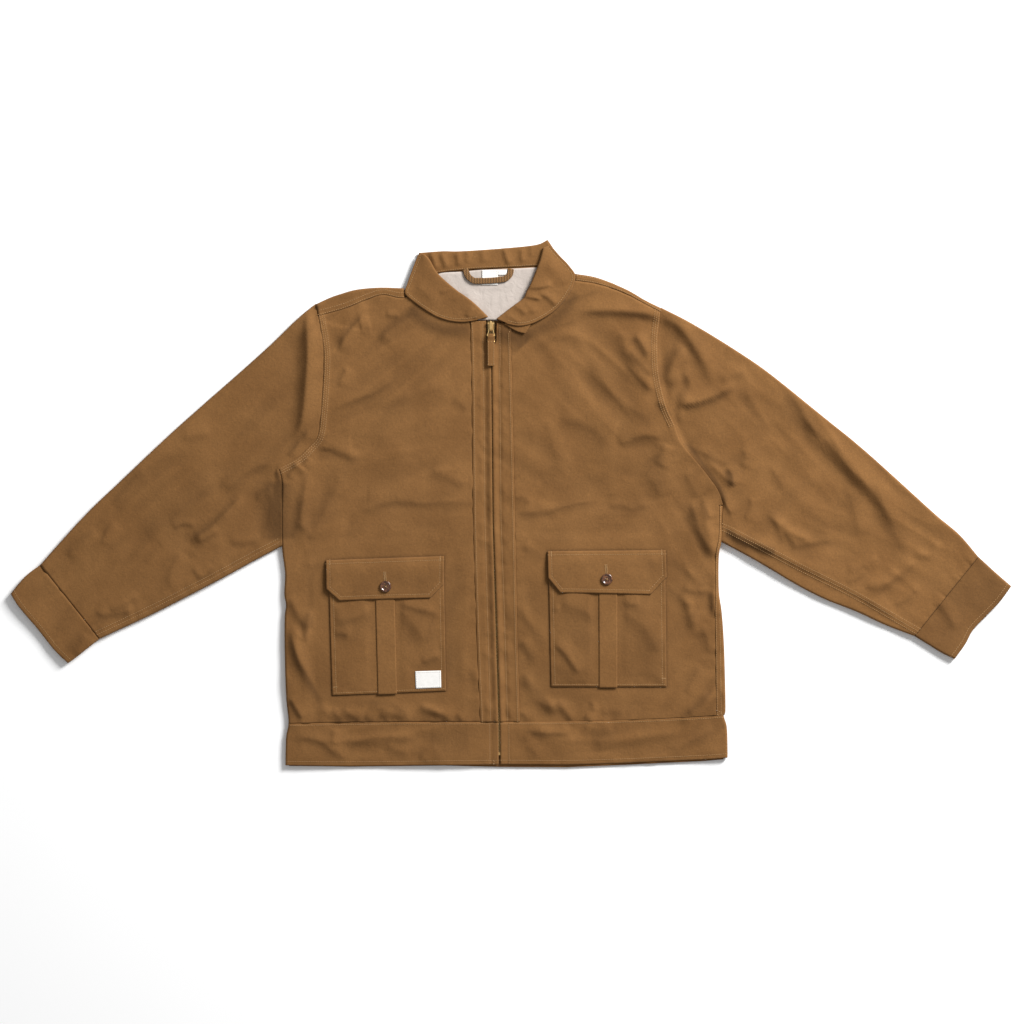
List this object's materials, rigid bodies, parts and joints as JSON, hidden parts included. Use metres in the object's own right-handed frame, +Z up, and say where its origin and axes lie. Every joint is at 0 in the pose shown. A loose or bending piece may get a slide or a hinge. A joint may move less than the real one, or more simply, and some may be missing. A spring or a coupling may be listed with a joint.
{
  "type": "work jacket",
  "caption": "Long-sleeved cotton work jacket with a zipped front, turned-down collar, two flapped patch pockets, cuffs and waistband, laid flat on its back.",
  "frame": {"origin": "centre of the bounding box at the surface that the jacket lies on", "axes": "+X towards the wearer's left sleeve, +Y from the hem to the collar, +Z up from the surface, away from the jacket's back"},
  "size_m": [1.441, 0.7584, 0.0137],
  "materials": {
    "cloth": "tobacco brown cotton twill, matt",
    "lining": "ecru cotton, matt",
    "label": "off-white woven label, matt",
    "tape": "brown woven tape, matt",
    "brass": "polished brass",
    "horn": "dark brown marbled, polished"
  },
  "bodies": {
    "jacket": {"back": "cloth", "front_left": "cloth", "front_right": "cloth", "zip_band_left": "cloth", "zip_band_right": "cloth", "zip_guard": "cloth", "sleeve_left": "cloth", "sleeve_right": "cloth", "cuff_left": "cloth", "cuff_right": "cloth", "waistband_left": "cloth", "waistband_right": "cloth", "waistband_back": "cloth", "collar_left": "cloth", "collar_right": "cloth", "collar_back": "cloth", "pocket_left": "cloth", "pocket_right": "cloth", "pleat_left": "cloth", "pleat_right": "cloth", "flap_left": "cloth", "flap_right": "cloth", "neck_lining": "lining", "hang_loop": "tape", "neck_label": "label", "size_label": "label", "pocket_label": "label", "zip_tape_left": "tape", "zip_tape_right": "tape", "zip_slider": "brass", "button_left": "horn", "button_right": "horn"},
    "pull": {"zip_puller": "brass", "zip_pull_tab": "cloth"}
  },
  "joints": [
    {"name": "pull_swing", "type": "hinge", "parent": "jacket", "child": "pull", "pos_m": [-0.0288, 0.2595, 0.0098], "axis": [-1, 0, 0], "range_deg": [0, 150]}
  ]
}
